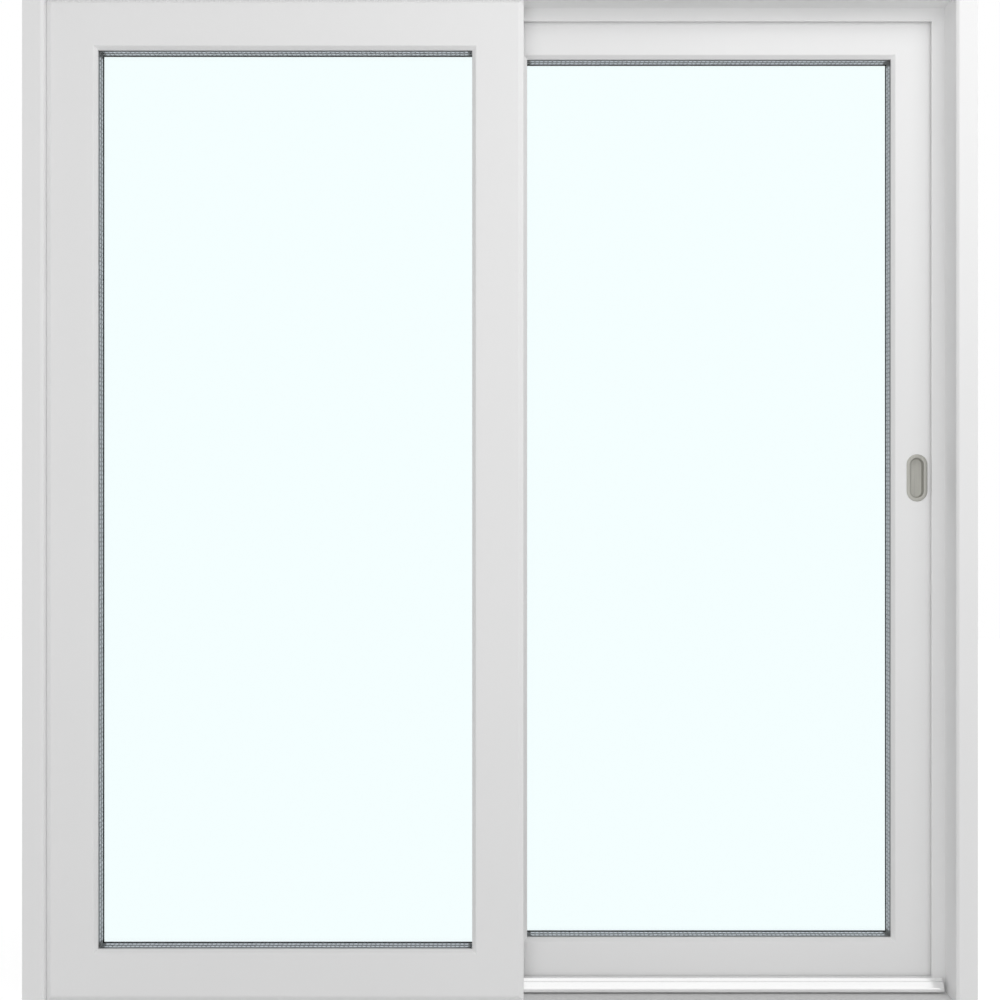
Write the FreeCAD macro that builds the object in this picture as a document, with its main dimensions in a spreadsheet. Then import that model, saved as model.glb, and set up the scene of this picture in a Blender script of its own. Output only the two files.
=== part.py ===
import FreeCAD, Part
import os
import Sketcher
from FreeCAD import Placement, Rotation, Vector

# Two-leaf sliding patio door in white uPVC: one leaf fixed in the outer track,
# the other runs on a rail in the inner track and slides behind it.
# X is the width, +Y points into the room, Z is up; the origin is the middle of the sill's underside.
doc = FreeCAD.newDocument("patio_door")
sheet = doc.addObject("Spreadsheet::Sheet", "Sizes")

SIZES = {
    # outer frame
    "door_width": 2000,
    "door_height": 2200,
    "frame_depth": 194,
    "jamb_face": 44,
    "pocket_wall": 34,
    "lip_front": 100,
    "lip_thick": 8,
    "lip_reach": 72,
    "frame_bevel": 5.3,
    "frame_round": 4,
    # threshold
    "sill_height": 44,
    "sill_track_height": 28,
    "sill_lip_height": 74,
    "nose_depth": 26,
    "nose_undercut": 4.4,
    "nose_setback": 14,
    "nose_riser": 13.2,
    "nose_land": 7,
    "nose_end_gap": 8,
    "nose_round": 3,
    "nose_groove": 2.5,
    # the two leaves
    "meeting_lap": 100,
    "leaf_depth": 80,
    "member_width": 108.5,
    "rebate_bite": 18,
    "rebate_upstand": 14,
    "sash_bevel": 8,
    "bevel_round": 4,
    "edge_run": 11,
    "edge_drop": 6,
    "edge_corner": 2,
    "edge_round": 6,
    "sash_side_gap": 12.5,
    "sash_top_gap": 7,
    "sash_lift": 16.5,
    "lip_gap": 6,
    "hardware_groove": 28,
    "groove_depth": 26,
    # glazing
    "glass_thick": 4,
    "cavity": 16,
    "glass_play": 2,
    "gasket_thick": 3,
    "wedge_thick": 9,
    "bead_slope": 8,
    "spacer_height": 8,
    "key_size": 16,
    # interlock between the meeting stiles
    "interlock_width": 40,
    "interlock_plate": 2,
    "interlock_leg": 5,
    "interlock_leg_thick": 4,
    "interlock_gap": 8,
    "interlock_end_gap": 6,
    # running rail, guide rail and stops
    "rail_flange_width": 30,
    "rail_flange_thick": 2,
    "rail_width": 10,
    "rail_height": 10,
    "rail_end_gap": 2,
    "guide_width": 10,
    "guide_drop": 25,
    "stop_thick": 20,
    "stop_width": 40,
    "stop_height": 50,
    "stop_inset": 150,
    # roller carriages and guide shoes
    "wheel_radius": 14,
    "wheel_flange": 2,
    "wheel_width": 16,
    "wheel_play": 0.3,
    "axle_radius": 3,
    "axle_play": 0.05,
    "carriage_length": 180,
    "carriage_play": 1,
    "carriage_skirt": 1,
    "wheel_slot_play": 1.5,
    "wheel_spacing": 110,
    "carriage_inset": 90,
    "shoe_length": 80,
    "shoe_inset": 130,
    "shoe_play": 1,
    "shoe_top_gap": 3,
    # flush pull on the outside
    "pull_height_centre": 1146,
    "pull_width": 45,
    "pull_height": 102,
    "pull_flange": 2,
    "pull_rim": 9,
    "pull_wall": 1.5,
    "pull_depth": 14,
    "pull_bevel": 1.4,
    "pull_fit": 0.5,
    # lever handle on the room side
    "plate_width": 36,
    "plate_height": 180,
    "plate_thick": 9,
    "plate_bevel": 2.5,
    "neck_radius": 11,
    "neck_length": 44,
    "lever_width": 26,
    "lever_length": 235,
    "lever_thick": 13,
    "lever_bevel": 4,
    # how far cutting outlines run past what they cut
    "cut_margin": 5,
}
for row, (alias, value) in enumerate(SIZES.items(), start=1):
    sheet.set(f"A{row}", alias)
    sheet.set(f"B{row}", str(value))
    sheet.setAlias(f"B{row}", alias)
doc.recompute()

# Places that several pieces share, as expressions on the sheet.
FRONT = "(-Sizes.frame_depth / 2)"
HALF_WIDTH = "(Sizes.door_width / 2)"
LIP_BACK = "(Sizes.lip_front + Sizes.lip_thick)"
REBATE = "(Sizes.member_width - Sizes.rebate_bite)"
GLASS_EDGE = f"({REBATE} + Sizes.glass_play)"
GLASS_FRONT = "(Sizes.rebate_upstand + Sizes.gasket_thick)"
GLASS_BACK = f"({GLASS_FRONT} + 3 * Sizes.glass_thick + 2 * Sizes.cavity)"
BEAD_FRONT = f"({GLASS_BACK} + Sizes.wedge_thick)"
TRACK_LENGTH = "(Sizes.door_width - 2 * Sizes.pocket_wall - 2 * Sizes.rail_end_gap)"


class Leaf:
    """Outer edges and outside face of one glazed leaf, as expressions."""

    def __init__(self, left, right, bottom, top, face):
        self.left = left
        self.right = right
        self.bottom = bottom
        self.top = top
        self.face = face
        self.width = f"({right} - {left})"
        self.height = f"({top} - {bottom})"
        self.centre_x = f"(({left} + {right}) / 2)"
        self.centre_z = f"(({bottom} + {top}) / 2)"


fixed_leaf = Leaf(
    left=f"(-{HALF_WIDTH} + Sizes.jamb_face)",
    right="(Sizes.meeting_lap / 2)",
    bottom="Sizes.sill_height",
    top="(Sizes.door_height - Sizes.jamb_face)",
    face=f"({FRONT} + Sizes.lip_front - Sizes.leaf_depth)",
)
sash = Leaf(
    left="(-Sizes.meeting_lap / 2)",
    right=f"({HALF_WIDTH} - Sizes.pocket_wall - Sizes.sash_side_gap)",
    bottom="(Sizes.sill_track_height + Sizes.sash_lift)",
    top="(Sizes.door_height - Sizes.pocket_wall - Sizes.sash_top_gap)",
    face=f"({FRONT} + {LIP_BACK} + Sizes.lip_gap)",
)
TRACK_Y = f"({sash.face} + Sizes.leaf_depth / 2)"

sub_parts = []


def named(part, label):
    """Give a finished sub-part its label and list it for writing."""
    part.Label = label
    sub_parts.append(part)
    return part


def place(part, x, y, z, turn=0):
    """Put a sub-part at x, y, z (expressions), turned about Y by a number of degrees."""
    part.Placement = Placement(Vector(), Rotation(Vector(0, 1, 0), turn))
    part.setExpression("Placement.Base.x", x)
    part.setExpression("Placement.Base.y", y)
    part.setExpression("Placement.Base.z", z)


# Turns that lay a bar's local width u (its x) on a side of an opening, with u pointing inwards.
LEFT = 0
RIGHT = 180
BOTTOM = -90
TOP = 90


def new_sketch(body, plane_role, name):
    """Empty sketch on one of the body's own origin planes."""
    sketch = body.newObject("Sketcher::SketchObject", name)
    plane = next(p for p in body.Origin.OriginFeatures if p.Role == plane_role)
    sketch.AttachmentSupport = [(plane, "")]
    sketch.MapMode = "FlatFace"
    return sketch


def add_outline(sketch, corners):
    """Closed outline of straight edges; each corner is a pair of expressions."""
    points = [Vector(sketch.evalExpression(x), sketch.evalExpression(y), 0) for x, y in corners]
    first = sketch.GeometryCount
    count = len(points)
    for i, start in enumerate(points):
        sketch.addGeometry(Part.LineSegment(start, points[(i + 1) % count]))
    for i in range(count):
        sketch.addConstraint(Sketcher.Constraint("Coincident", first + i, 2, first + (i + 1) % count, 1))
    for i, (x, y) in enumerate(corners):
        for kind, expression, value in (("DistanceX", x, points[i].x), ("DistanceY", y, points[i].y)):
            index = sketch.addConstraint(Sketcher.Constraint(kind, -1, 1, first + i, 1, value))
            sketch.setExpression(f"Constraints[{index}]", expression)


def add_circle(sketch, x, y, radius):
    """Circle with its centre and radius given as expressions."""
    centre = Vector(sketch.evalExpression(x), sketch.evalExpression(y), 0)
    size = sketch.evalExpression(radius)
    circle = sketch.addGeometry(Part.Circle(centre, Vector(0, 0, 1), size))
    bindings = (
        (Sketcher.Constraint("DistanceX", -1, 1, circle, 3, centre.x), x),
        (Sketcher.Constraint("DistanceY", -1, 1, circle, 3, centre.y), y),
        (Sketcher.Constraint("Radius", circle, size), radius),
    )
    for constraint, expression in bindings:
        index = sketch.addConstraint(constraint)
        sketch.setExpression(f"Constraints[{index}]", expression)


def add_stadium(sketch, x, low, high, radius):
    """Upright slot shape: two half circles centred at heights low and high, joined by straight sides."""
    centre_x = sketch.evalExpression(x)
    size = sketch.evalExpression(radius)
    upper = Vector(centre_x, sketch.evalExpression(high), 0)
    lower = Vector(centre_x, sketch.evalExpression(low), 0)
    side = Vector(size, 0, 0)
    rise = Vector(0, size, 0)
    top_arc = sketch.addGeometry(Part.Arc(upper + side, upper + rise, upper - side))
    left_line = sketch.addGeometry(Part.LineSegment(upper - side, lower - side))
    bottom_arc = sketch.addGeometry(Part.Arc(lower - side, lower - rise, lower + side))
    right_line = sketch.addGeometry(Part.LineSegment(lower + side, upper + side))
    loop = (top_arc, left_line, bottom_arc, right_line)
    for edge, following in zip(loop, loop[1:] + loop[:1]):
        sketch.addConstraint(Sketcher.Constraint("Tangent", edge, 2, following, 1))
    bindings = (
        (Sketcher.Constraint("DistanceX", -1, 1, top_arc, 3, upper.x), x),
        (Sketcher.Constraint("DistanceY", -1, 1, top_arc, 3, upper.y), high),
        (Sketcher.Constraint("DistanceX", -1, 1, bottom_arc, 3, lower.x), x),
        (Sketcher.Constraint("DistanceY", -1, 1, bottom_arc, 3, lower.y), low),
        (Sketcher.Constraint("Radius", top_arc, size), radius),
    )
    for constraint, expression in bindings:
        index = sketch.addConstraint(constraint)
        sketch.setExpression(f"Constraints[{index}]", expression)


def pad(body, sketch, length, side="One side", reverse=False):
    feature = body.newObject("PartDesign::Pad", f"{body.Name}_pad")
    feature.Profile = sketch
    feature.SideType = side
    feature.Reversed = reverse
    feature.setExpression("Length", length)
    doc.recompute()
    return feature


def cut_through(body, sketch):
    """Pocket through the whole body, both ways from the sketch; it has to take material away."""
    before = body.Shape.Volume
    feature = body.newObject("PartDesign::Pocket", f"{body.Name}_cut")
    feature.Profile = sketch
    feature.SideType = "Symmetric"
    feature.Type = "ThroughAll"
    doc.recompute()
    if not body.Shape.Volume < before:
        raise ValueError(f"{feature.Name} cuts nothing")
    return feature


def pocket(body, sketch, depth, back=None):
    """Blind pocket of a given depth against the sketch's normal, and a second one along it if asked."""
    before = body.Shape.Volume
    feature = body.newObject("PartDesign::Pocket", f"{body.Name}_pocket")
    feature.Profile = sketch
    feature.setExpression("Length", depth)
    if back is not None:
        feature.SideType = "Two sides"
        feature.setExpression("Length2", back)
    doc.recompute()
    if not body.Shape.Volume < before:
        raise ValueError(f"{feature.Name} cuts nothing")
    return feature


def ease_edges(body, kind, size, keep):
    """Fillet or chamfer every edge of the body's tip for which keep(edge) is true."""
    tip = body.Tip
    names = [f"Edge{i}" for i, edge in enumerate(tip.Shape.Edges, start=1) if keep(edge)]
    if not names:
        raise ValueError(f"{body.Name} has no edge to ease")
    feature = body.newObject(f"PartDesign::{kind}", f"{body.Name}_eased")
    feature.Base = (tip, names)
    feature.setExpression({"Fillet": "Radius", "Chamfer": "Size"}[kind], size)
    doc.recompute()
    return feature


def in_plane(y):
    """Test for edges that lie at one depth y (an expression)."""
    at_y = sheet.evalExpression(y)

    def keep(edge):
        return all(abs(v.Y - at_y) < 0.01 for v in edge.Vertexes)

    return keep


def runs_at(x, y):
    """Test for edges that run the length of a bar at the point x, y (expressions) of its section."""
    at_x = sheet.evalExpression(x)
    at_y = sheet.evalExpression(y)

    def keep(edge):
        return all(abs(v.X - at_x) < 0.01 and abs(v.Y - at_y) < 0.01 for v in edge.Vertexes)

    return keep


def bar(name, section, length, rounds=()):
    """Straight bar of one section (width u along x, depth along y), centred on its length along z."""
    body = doc.addObject("PartDesign::Body", name)
    outline = new_sketch(body, "XY_Plane", f"{name}_section")
    add_outline(outline, section)
    pad(body, outline, length, side="Symmetric")
    for x, y, radius in rounds:
        ease_edges(body, "Fillet", radius, runs_at(x, y))
    return body


def mitre(body, length, reach, ends=(1, -1)):
    """Cut a bar's ends at 45 degrees, back from its outer edge at u = 0 to u = reach."""
    cut = new_sketch(body, "XZ_Plane", f"{body.Name}_mitre")
    margin = "Sizes.cut_margin"
    for end in ends:
        add_outline(cut, (
            (f"-{margin}", f"{end} * ({length} / 2 + {margin})"),
            (f"{reach} + {margin}", f"{end} * ({length} / 2 - {reach} - {margin})"),
            (f"{reach} + {margin}", f"{end} * ({length} / 2 + {margin})"),
        ))
    cut_through(body, cut)


# Outer frame: head and jambs share one section, mitred and welded at the top corners.
# A thin lip stands out between the outer track, where the fixed leaf sits, and the inner pocket.
FRAME_SECTION = (
    ("0", "0"),
    ("Sizes.jamb_face - Sizes.frame_bevel", "0"),
    ("Sizes.jamb_face", "Sizes.frame_bevel"),
    ("Sizes.jamb_face", "Sizes.lip_front"),
    ("Sizes.lip_reach", "Sizes.lip_front"),
    ("Sizes.lip_reach", LIP_BACK),
    ("Sizes.pocket_wall", LIP_BACK),
    ("Sizes.pocket_wall", "Sizes.frame_depth"),
    ("0", "Sizes.frame_depth"),
)
FRAME_ROUNDS = (
    ("Sizes.jamb_face - Sizes.frame_bevel", "0", "Sizes.frame_round"),
    ("Sizes.pocket_wall", "Sizes.frame_depth", "Sizes.frame_round"),
)


def frame_bar(label, length, ends, x, z, turn):
    body = bar(label, FRAME_SECTION, length, FRAME_ROUNDS)
    mitre(body, length, "Sizes.lip_reach", ends)
    place(body, x, FRONT, z, turn)
    named(body, label)


frame_bar("head", "Sizes.door_width", (1, -1), "0", "Sizes.door_height", TOP)
frame_bar("left_jamb", "Sizes.door_height", (1,), f"-{HALF_WIDTH}", "Sizes.door_height / 2", LEFT)
frame_bar("right_jamb", "Sizes.door_height", (-1,), HALF_WIDTH, "Sizes.door_height / 2", RIGHT)


# Threshold: flat outer step, a lip in line with the jambs', and a lower inner track.
# Its ends are cut to the jambs' section.
def threshold():
    body = bar("threshold", (
        ("0", "0"),
        ("Sizes.sill_height", "0"),
        ("Sizes.sill_height", "Sizes.lip_front"),
        ("Sizes.sill_lip_height", "Sizes.lip_front"),
        ("Sizes.sill_lip_height", LIP_BACK),
        ("Sizes.sill_track_height", LIP_BACK),
        ("Sizes.sill_track_height", "Sizes.frame_depth"),
        ("0", "Sizes.frame_depth"),
    ), "Sizes.door_width")
    ends = new_sketch(body, "YZ_Plane", "threshold_ends")
    margin = "Sizes.cut_margin"
    for end in (1, -1):
        beyond = f"{end} * ({HALF_WIDTH} + {margin})"
        at_face = f"{end} * ({HALF_WIDTH} - Sizes.jamb_face)"
        at_lip = f"{end} * ({HALF_WIDTH} - Sizes.lip_reach)"
        at_pocket = f"{end} * ({HALF_WIDTH} - Sizes.pocket_wall)"
        add_outline(ends, (
            (f"-{margin}", beyond),
            (f"-{margin}", at_face),
            ("Sizes.lip_front", at_face),
            ("Sizes.lip_front", at_lip),
            (LIP_BACK, at_lip),
            (LIP_BACK, at_pocket),
            (f"Sizes.frame_depth + {margin}", at_pocket),
            (f"Sizes.frame_depth + {margin}", beyond),
        ))
    cut_through(body, ends)
    place(body, "0", FRONT, "0", BOTTOM)
    named(body, "threshold")


threshold()


# Weather nose: a sloping cover strip on the outer step, in front of the lip, across the sliding half only.
# One fine groove runs along the slope, and its foot is set back under the riser.
def sill_nose():
    rise = "(Sizes.sill_lip_height - Sizes.sill_height)"
    foot = "-Sizes.nose_depth"
    slope_rise = f"({rise} - Sizes.nose_riser)"
    slope_run = "(Sizes.nose_depth - Sizes.nose_land)"

    def on_slope(step):
        return f"(Sizes.nose_riser + {slope_rise} * {step})", f"({foot} + {slope_run} * {step})"

    groove_low = on_slope(0.585)
    groove_high = on_slope(0.685)
    groove_root = (groove_low[0], f"{groove_low[1]} + Sizes.nose_groove")
    end = f"({HALF_WIDTH} - Sizes.jamb_face - Sizes.nose_end_gap)"
    body = bar("sill_nose", (
        ("0", f"{foot} + Sizes.nose_setback"),
        ("Sizes.nose_undercut", f"{foot} + Sizes.nose_setback"),
        ("Sizes.nose_undercut", foot),
        ("Sizes.nose_riser", foot),
        groove_low,
        groove_root,
        groove_high,
        (rise, "-Sizes.nose_land"),
        (rise, "0"),
        ("0", "0"),
    ), f"({end} - {fixed_leaf.right})", (
        ("Sizes.nose_riser", foot, "Sizes.nose_round"),
        (rise, "-Sizes.nose_land", "Sizes.nose_round"),
    ))
    place(body, f"({end} + {fixed_leaf.right}) / 2", f"{FRONT} + Sizes.lip_front", "Sizes.sill_height", BOTTOM)
    named(body, "sill_nose")


sill_nose()


# Tracks: an aluminium running rail with a rounded head lies on the threshold,
# and a guide rail of T section hangs from the head into the sash's top groove.
def tee_section(stem_width, stem_end):
    return (
        ("0", "-Sizes.rail_flange_width / 2"),
        ("Sizes.rail_flange_thick", "-Sizes.rail_flange_width / 2"),
        ("Sizes.rail_flange_thick", f"-{stem_width} / 2"),
        (stem_end, f"-{stem_width} / 2"),
        (stem_end, f"{stem_width} / 2"),
        ("Sizes.rail_flange_thick", f"{stem_width} / 2"),
        ("Sizes.rail_flange_thick", "Sizes.rail_flange_width / 2"),
        ("0", "Sizes.rail_flange_width / 2"),
    )


def track(label, stem_width, stem_end, z, turn):
    head_round = f"0.4 * {stem_width}"
    body = bar(label, tee_section(stem_width, stem_end), TRACK_LENGTH, (
        (stem_end, f"-{stem_width} / 2", head_round),
        (stem_end, f"{stem_width} / 2", head_round),
    ))
    place(body, "0", TRACK_Y, z, turn)
    named(body, label)


track("running_rail", "Sizes.rail_width", "Sizes.rail_height", "Sizes.sill_track_height", BOTTOM)
track("guide_rail", "Sizes.guide_width", "Sizes.guide_drop", "Sizes.door_height - Sizes.pocket_wall", TOP)


# Rubber stops on the left jamb catch the open sash near its bottom and top corners.
def stop_buffers():
    blocks = []
    heights = (
        f"{sash.bottom} + Sizes.stop_inset",
        f"{sash.top} - Sizes.stop_inset - Sizes.stop_height",
    )
    for i, height in enumerate(heights, start=1):
        block = doc.addObject("Part::Box", f"stop_buffer_{i}")
        block.setExpression("Length", "Sizes.stop_thick")
        block.setExpression("Width", "Sizes.stop_width")
        block.setExpression("Height", "Sizes.stop_height")
        place(block, f"-{HALF_WIDTH} + Sizes.pocket_wall", f"{TRACK_Y} - Sizes.stop_width / 2", height)
        blocks.append(block)
    pair = doc.addObject("Part::Compound", "stop_buffers")
    pair.Links = blocks
    named(pair, "stop_buffers")


stop_buffers()

# Leaf members: a bevelled upstand outside, a glazing rebate open to the room, eased outer edges.
LEAF_FACE = (
    ("0", "Sizes.edge_drop"),
    ("Sizes.edge_run", "0"),
    ("Sizes.member_width - Sizes.sash_bevel", "0"),
    ("Sizes.member_width", "Sizes.sash_bevel"),
    ("Sizes.member_width", "Sizes.rebate_upstand"),
    (REBATE, "Sizes.rebate_upstand"),
    (REBATE, "Sizes.leaf_depth"),
    ("0", "Sizes.leaf_depth"),
)
GROOVE_NEAR = "(Sizes.leaf_depth / 2 - Sizes.hardware_groove / 2)"
GROOVE_FAR = "(Sizes.leaf_depth / 2 + Sizes.hardware_groove / 2)"
# The sliding leaf's section also has a hardware groove all round its outer edge.
SASH_FACE = LEAF_FACE + (
    ("0", GROOVE_FAR),
    ("Sizes.groove_depth", GROOVE_FAR),
    ("Sizes.groove_depth", GROOVE_NEAR),
    ("0", GROOVE_NEAR),
)
LEAF_ROUNDS = (
    ("0", "Sizes.edge_drop", "Sizes.edge_corner"),
    ("Sizes.edge_run", "0", "Sizes.edge_round"),
    ("Sizes.member_width - Sizes.sash_bevel", "0", "Sizes.bevel_round"),
    ("0", "Sizes.leaf_depth", "Sizes.frame_round"),
)
# Glazing beads clip into the rebate on the room side and slope towards the glass.
BEAD_SECTION = (
    (REBATE, BEAD_FRONT),
    ("Sizes.member_width", BEAD_FRONT),
    ("Sizes.member_width", "Sizes.leaf_depth - Sizes.bead_slope"),
    ("Sizes.member_width - Sizes.bead_slope", "Sizes.leaf_depth"),
    (REBATE, "Sizes.leaf_depth"),
)


def leaf_bar(label, leaf, turn, section, rounds=()):
    """Mitred bar on one side of a leaf: a stile where turn is LEFT or RIGHT, else a rail."""
    upright = turn in (LEFT, RIGHT)
    length = leaf.height if upright else leaf.width
    x = {LEFT: leaf.left, RIGHT: leaf.right}.get(turn, leaf.centre_x)
    z = {BOTTOM: leaf.bottom, TOP: leaf.top}.get(turn, leaf.centre_z)
    body = bar(label, section, length, rounds)
    mitre(body, length, "Sizes.member_width")
    place(body, x, leaf.face, z, turn)
    return named(body, label)


leaf_bar("fixed_left_stile", fixed_leaf, LEFT, LEAF_FACE, LEAF_ROUNDS)
leaf_bar("fixed_meeting_stile", fixed_leaf, RIGHT, LEAF_FACE, LEAF_ROUNDS)
leaf_bar("fixed_top_rail", fixed_leaf, TOP, LEAF_FACE, LEAF_ROUNDS)
leaf_bar("fixed_bottom_rail", fixed_leaf, BOTTOM, LEAF_FACE, LEAF_ROUNDS)
leaf_bar("sash_meeting_stile", sash, LEFT, SASH_FACE, LEAF_ROUNDS)
lock_stile = leaf_bar("sash_lock_stile", sash, RIGHT, SASH_FACE, LEAF_ROUNDS)
leaf_bar("sash_top_rail", sash, TOP, SASH_FACE, LEAF_ROUNDS)
leaf_bar("sash_bottom_rail", sash, BOTTOM, SASH_FACE, LEAF_ROUNDS)

for leaf_name, leaf in (("fixed", fixed_leaf), ("sash", sash)):
    for side, turn in (("left", LEFT), ("right", RIGHT), ("top", TOP), ("bottom", BOTTOM)):
        leaf_bar(f"{leaf_name}_{side}_bead", leaf, turn, BEAD_SECTION)


# Sealed units: three panes with an aluminium spacer in each cavity, bedded on an outer gasket
# and held against it by a thicker wedge gasket under the beads.
def ring(label, leaf, depth, thick):
    """Gasket frame from the glass edge to the sight line, thick towards the room from a depth."""
    body = doc.addObject("PartDesign::Body", label)
    outline = new_sketch(body, "XZ_Plane", f"{label}_outline")
    for inset in (GLASS_EDGE, "Sizes.member_width"):
        half_x = f"({leaf.width} / 2 - {inset})"
        half_z = f"({leaf.height} / 2 - {inset})"
        add_outline(outline, (
            (f"-{half_x}", f"-{half_z}"),
            (half_x, f"-{half_z}"),
            (half_x, half_z),
            (f"-{half_x}", half_z),
        ))
    pad(body, outline, thick, reverse=True)
    place(body, leaf.centre_x, f"{leaf.face} + {depth}", leaf.centre_z)
    named(body, label)


def pane(label, leaf, depth):
    glass = doc.addObject("Part::Box", label)
    glass.setExpression("Length", f"{leaf.width} - 2 * {GLASS_EDGE}")
    glass.setExpression("Width", "Sizes.glass_thick")
    glass.setExpression("Height", f"{leaf.height} - 2 * {GLASS_EDGE}")
    place(glass, f"{leaf.left} + {GLASS_EDGE}", f"{leaf.face} + {depth}", f"{leaf.bottom} + {GLASS_EDGE}")
    named(glass, label)


def spacer_bar(name, leaf, depth, turn):
    """Plain length of spacer along one side of a cavity, from corner key to corner key."""
    upright = turn in (LEFT, RIGHT)
    length = leaf.height if upright else leaf.width
    x = {LEFT: leaf.left, RIGHT: leaf.right}.get(turn, leaf.centre_x)
    z = {BOTTOM: leaf.bottom, TOP: leaf.top}.get(turn, leaf.centre_z)
    outer = "(Sizes.member_width - Sizes.spacer_height)"
    body = bar(name, (
        (outer, "0"),
        ("Sizes.member_width", "0"),
        ("Sizes.member_width", "Sizes.cavity"),
        (outer, "Sizes.cavity"),
    ), f"({length} - 2 * {outer} - 2 * Sizes.key_size)")
    place(body, x, f"{leaf.face} + {depth}", z, turn)
    return body


def corner_key(name, leaf, depth, turn):
    """Plastic elbow that joins two spacer bars; turn says which side's first corner it fills."""
    upright = turn in (LEFT, RIGHT)
    length = leaf.height if upright else leaf.width
    x = {LEFT: leaf.left, RIGHT: leaf.right}.get(turn, leaf.centre_x)
    z = {BOTTOM: leaf.bottom, TOP: leaf.top}.get(turn, leaf.centre_z)
    outer = "(Sizes.member_width - Sizes.spacer_height)"
    end = f"({length} / 2 - {outer})"
    body = doc.addObject("PartDesign::Body", name)
    outline = new_sketch(body, "XZ_Plane", f"{name}_outline")
    add_outline(outline, (
        (outer, end),
        (outer, f"{end} - Sizes.key_size"),
        ("Sizes.member_width", f"{end} - Sizes.key_size"),
        ("Sizes.member_width", f"{end} - Sizes.spacer_height"),
        (f"{outer} + Sizes.key_size", f"{end} - Sizes.spacer_height"),
        (f"{outer} + Sizes.key_size", end),
    ))
    pad(body, outline, "Sizes.cavity", reverse=True)
    place(body, x, f"{leaf.face} + {depth}", z, turn)
    return body


def sealed_unit(leaf_name, leaf):
    pitch = "(Sizes.glass_thick + Sizes.cavity)"
    for step, which in enumerate(("outer", "middle", "inner")):
        pane(f"{leaf_name}_{which}_pane", leaf, f"({GLASS_FRONT} + {step} * {pitch})")
    bars = []
    keys = []
    for step in range(2):
        depth = f"({GLASS_FRONT} + Sizes.glass_thick + {step} * {pitch})"
        for side, turn in (("left", LEFT), ("right", RIGHT), ("top", TOP), ("bottom", BOTTOM)):
            bars.append(spacer_bar(f"{leaf_name}_spacer_{side}_{step}", leaf, depth, turn))
            keys.append(corner_key(f"{leaf_name}_key_{side}_{step}", leaf, depth, turn))
    for label, pieces in ((f"{leaf_name}_spacers", bars), (f"{leaf_name}_corner_keys", keys)):
        group = doc.addObject("Part::Compound", label)
        group.Links = pieces
        named(group, label)
    ring(f"{leaf_name}_outer_gasket", leaf, "Sizes.rebate_upstand", "Sizes.gasket_thick")
    ring(f"{leaf_name}_inner_gasket", leaf, GLASS_BACK, "Sizes.wedge_thick")


sealed_unit("fixed", fixed_leaf)
sealed_unit("sash", sash)


# Interlock: a strip with a projecting leg on each meeting stile; the legs close the gap between the leaves.
def interlock(label, turn, y, low, high):
    """Strip whose plate lies on a stile and whose leg stands on the side that u points to."""
    leg_near = "(Sizes.interlock_gap / 2)"
    leg_far = f"({leg_near} + Sizes.interlock_leg_thick)"
    leg_end = "(Sizes.interlock_plate + Sizes.interlock_leg)"
    body = bar(label, (
        ("-Sizes.interlock_width / 2", "0"),
        ("Sizes.interlock_width / 2", "0"),
        ("Sizes.interlock_width / 2", "Sizes.interlock_plate"),
        (leg_far, "Sizes.interlock_plate"),
        (leg_far, leg_end),
        (leg_near, leg_end),
        (leg_near, "Sizes.interlock_plate"),
        ("-Sizes.interlock_width / 2", "Sizes.interlock_plate"),
    ), f"({high} - {low})")
    body.Placement = Placement(Vector(), Rotation(Vector(0, 0, 1), turn))
    body.setExpression("Placement.Base.y", y)
    body.setExpression("Placement.Base.z", f"({high} + {low}) / 2")
    named(body, label)


interlock_low = "(Sizes.sill_lip_height + Sizes.interlock_end_gap)"
interlock_high = "(Sizes.door_height - Sizes.lip_reach - Sizes.interlock_end_gap)"
interlock("fixed_interlock", 0, f"{FRONT} + Sizes.lip_front", interlock_low, interlock_high)
interlock("sash_interlock", 180, sash.face, interlock_low, interlock_high)

# Roller carriages sit in the bottom groove; their flanged wheels stand on the running rail.
WHEEL_Z = "(Sizes.sill_track_height + Sizes.rail_height + Sizes.wheel_play + Sizes.wheel_radius)"
CARRIAGE_WIDTH = "(Sizes.hardware_groove - 2 * Sizes.carriage_play)"
CARRIAGE_LOW = f"({sash.bottom} - Sizes.carriage_skirt)"
CARRIAGE_HIGH = f"({sash.bottom} + Sizes.groove_depth)"
CARRIAGE_X = (
    f"({sash.left} + Sizes.carriage_inset + Sizes.carriage_length / 2)",
    f"({sash.right} - Sizes.carriage_inset - Sizes.carriage_length / 2)",
)
WHEEL_X = ("(-Sizes.wheel_spacing / 2)", "(Sizes.wheel_spacing / 2)")


def carriage(name, x):
    body = doc.addObject("PartDesign::Body", name)
    side = new_sketch(body, "XZ_Plane", f"{name}_side")
    half = "(Sizes.carriage_length / 2)"
    add_outline(side, (
        (f"-{half}", CARRIAGE_LOW),
        (half, CARRIAGE_LOW),
        (half, CARRIAGE_HIGH),
        (f"-{half}", CARRIAGE_HIGH),
    ))
    pad(body, side, CARRIAGE_WIDTH, side="Symmetric")
    slots = new_sketch(body, "XY_Plane", f"{name}_slots")
    axles = new_sketch(body, "XZ_Plane", f"{name}_axles")
    reach = "(Sizes.wheel_radius + Sizes.wheel_flange + Sizes.wheel_slot_play)"
    across = "(Sizes.wheel_width / 2 + Sizes.wheel_slot_play)"
    for wheel_x in WHEEL_X:
        add_outline(slots, (
            (f"{wheel_x} - {reach}", f"-{across}"),
            (f"{wheel_x} + {reach}", f"-{across}"),
            (f"{wheel_x} + {reach}", across),
            (f"{wheel_x} - {reach}", across),
        ))
        add_circle(axles, wheel_x, WHEEL_Z, "Sizes.axle_radius + Sizes.axle_play")
    cut_through(body, slots)
    cut_through(body, axles)
    place(body, x, TRACK_Y, "0")
    return body


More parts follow.
